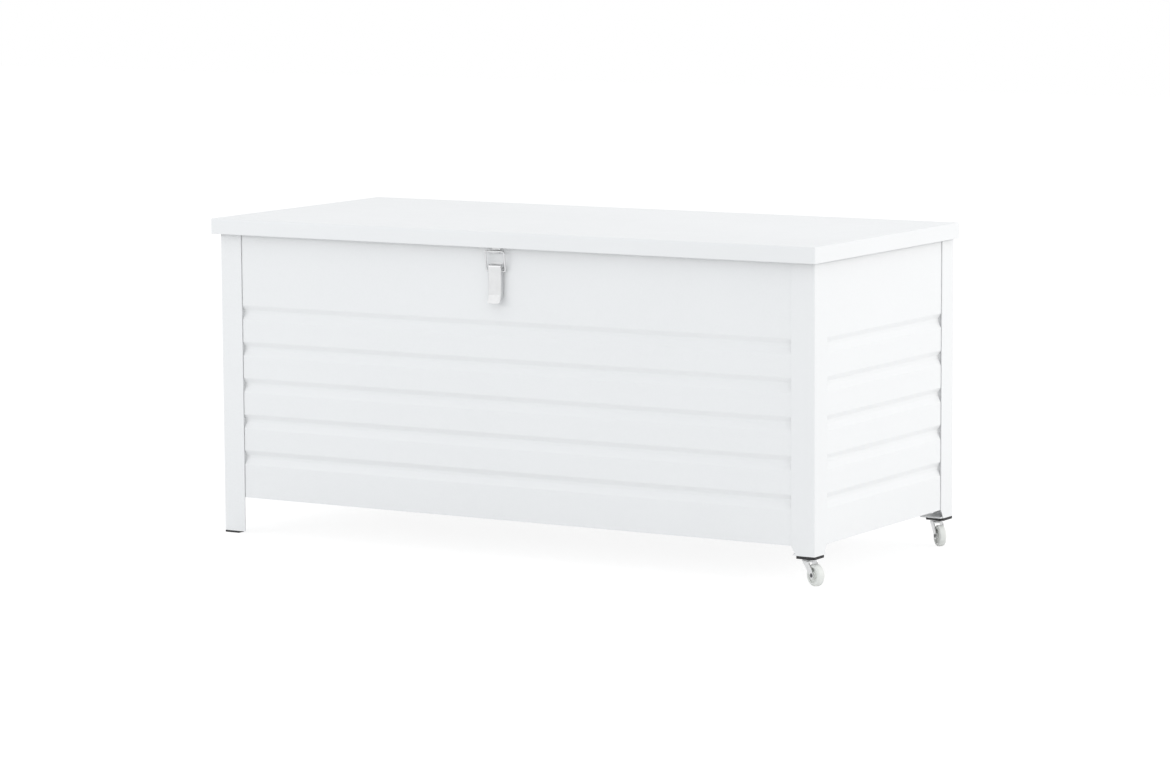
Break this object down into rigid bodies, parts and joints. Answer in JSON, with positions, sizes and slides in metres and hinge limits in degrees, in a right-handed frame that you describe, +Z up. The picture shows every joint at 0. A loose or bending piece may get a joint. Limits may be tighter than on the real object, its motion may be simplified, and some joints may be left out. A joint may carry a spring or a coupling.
{
  "type": "cushion storage box",
  "caption": "Long low metal storage box with a flat hinged lid, grooved walls, corner posts, a toggle latch in front and castors under one end.",
  "frame": {"origin": "middle of the whole box on the floor", "axes": "+X along the front towards the castor end, +Y from the latch to the hinges, +Z up"},
  "size_m": [1.3251, 0.5896, 0.614],
  "materials": {
    "white_coat": "satin powder coat on steel sheet",
    "zinc": "zinc plated",
    "black_steel": "satin black",
    "chrome": "polished",
    "black_plastic": "matt",
    "black_rubber": "matt",
    "grey_plastic": "matt"
  },
  "bodies": {
    "box": {"front_panel": "white_coat", "rear_panel": "white_coat", "left_end_panel": "white_coat", "right_end_panel": "white_coat", "post_front_left": "white_coat", "post_front_right": "white_coat", "post_rear_left": "white_coat", "post_rear_right": "white_coat", "floor_panel": "white_coat", "base_rail_front": "white_coat", "base_rail_rear": "white_coat", "base_rail_left": "white_coat", "base_rail_right": "white_coat", "rim_rail_front": "white_coat", "rim_rail_rear": "white_coat", "rim_rail_left": "white_coat", "rim_rail_right": "white_coat", "lid_bumpers": "black_rubber", "foot_pad_front": "black_plastic", "foot_pad_rear": "black_plastic", "castor_plate_front": "white_coat", "castor_plate_rear": "white_coat", "castor_pad_front": "black_plastic", "castor_pad_rear": "black_plastic", "castor_ring_front": "zinc", "castor_ring_rear": "zinc", "hinge_leaf_body_left": "white_coat", "hinge_leaf_body_middle": "white_coat", "hinge_leaf_body_right": "white_coat", "hinge_pins": "zinc", "hinge_screws_body": "zinc", "corner_screws": "zinc", "gas_bracket_wall_left": "white_coat", "gas_bracket_wall_right": "white_coat", "latch_base": "zinc", "latch_rivets": "zinc", "latch_pin": "zinc"},
    "lid": {"lid_shell": "white_coat", "lid_stiffener_left": "white_coat", "lid_stiffener_right": "white_coat", "hinge_leaf_lid_left": "white_coat", "hinge_leaf_lid_middle": "white_coat", "hinge_leaf_lid_right": "white_coat", "hinge_screws_lid": "zinc", "latch_catch": "zinc", "gas_bracket_lid_left": "white_coat", "gas_bracket_lid_right": "white_coat"},
    "gas_cylinder_left": {"gas_cylinder_left": "black_steel"},
    "gas_rod_left": {"gas_rod_left": "chrome"},
    "gas_cylinder_right": {"gas_cylinder_right": "black_steel"},
    "gas_rod_right": {"gas_rod_right": "chrome"},
    "latch_lever": {"latch_lever": "zinc"},
    "latch_bow": {"latch_bow": "zinc"},
    "castor_front": {"castor_fork_front": "zinc", "castor_axle_front": "black_steel"},
    "wheel_front": {"castor_wheel_front": "grey_plastic"},
    "castor_rear": {"castor_fork_rear": "zinc", "castor_axle_rear": "black_steel"},
    "wheel_rear": {"castor_wheel_rear": "grey_plastic"}
  },
  "joints": [
    {"name": "lid_hinge", "type": "hinge", "parent": "box", "child": "lid", "pos_m": [0, 0.29025, 0.584], "axis": [-1, 0, 0], "range_deg": [0, 75]},
    {"name": "gas_tilt_left", "type": "hinge", "parent": "box", "child": "gas_cylinder_left", "pos_m": [-0.612, 0.20977, 0.40091], "axis": [-1, 0, 0], "range_deg": [0, 37.5]},
    {"name": "gas_rod_turn_left", "type": "hinge", "parent": "lid", "child": "gas_rod_left", "pos_m": [-0.612, 0.09067, 0.597], "axis": [-1, 0, 0], "range_deg": [-37.5, 0]},
    {"name": "gas_tilt_right", "type": "hinge", "parent": "box", "child": "gas_cylinder_right", "pos_m": [0.612, 0.20977, 0.40091], "axis": [-1, 0, 0], "range_deg": [0, 37.5]},
    {"name": "gas_rod_turn_right", "type": "hinge", "parent": "lid", "child": "gas_rod_right", "pos_m": [0.612, 0.09067, 0.597], "axis": [-1, 0, 0], "range_deg": [-37.5, 0]},
    {"name": "latch_lever_turn", "type": "hinge", "parent": "box", "child": "latch_lever", "pos_m": [-0.018, -0.28225, 0.548], "axis": [-1, 0, 0], "range_deg": [0, 105]},
    {"name": "latch_bow_turn", "type": "hinge", "parent": "latch_lever", "child": "latch_bow", "pos_m": [-0.018, -0.28025, 0.5395], "axis": [-1, 0, 0], "range_deg": [-140, 0]},
    {"name": "castor_swivel_front", "type": "hinge", "parent": "box", "child": "castor_front", "pos_m": [0.6275, -0.25425, 0.044], "axis": [0, 0, 1], "continuous": true},
    {"name": "wheel_spin_front", "type": "hinge", "parent": "castor_front", "child": "wheel_front", "pos_m": [0.64527, -0.26342, 0.02], "axis": [0.4587, 0.8886, 0], "continuous": true},
    {"name": "castor_swivel_rear", "type": "hinge", "parent": "box", "child": "castor_rear", "pos_m": [0.6275, 0.25875, 0.044], "axis": [0, 0, 1], "continuous": true},
    {"name": "wheel_spin_rear", "type": "hinge", "parent": "castor_rear", "child": "wheel_rear", "pos_m": [0.64172, 0.24468, 0.02], "axis": [0.7034, 0.7108, 0], "continuous": true}
  ],
  "couplings": [
    {"joint": "gas_tilt_left", "follows": "lid_hinge", "ratio": 0.5},
    {"joint": "gas_rod_turn_left", "follows": "lid_hinge", "ratio": -0.5},
    {"joint": "gas_tilt_right", "follows": "lid_hinge", "ratio": 0.5},
    {"joint": "gas_rod_turn_right", "follows": "lid_hinge", "ratio": -0.5},
    {"joint": "latch_bow_turn", "follows": "latch_lever_turn", "ratio": -1.3333}
  ]
}
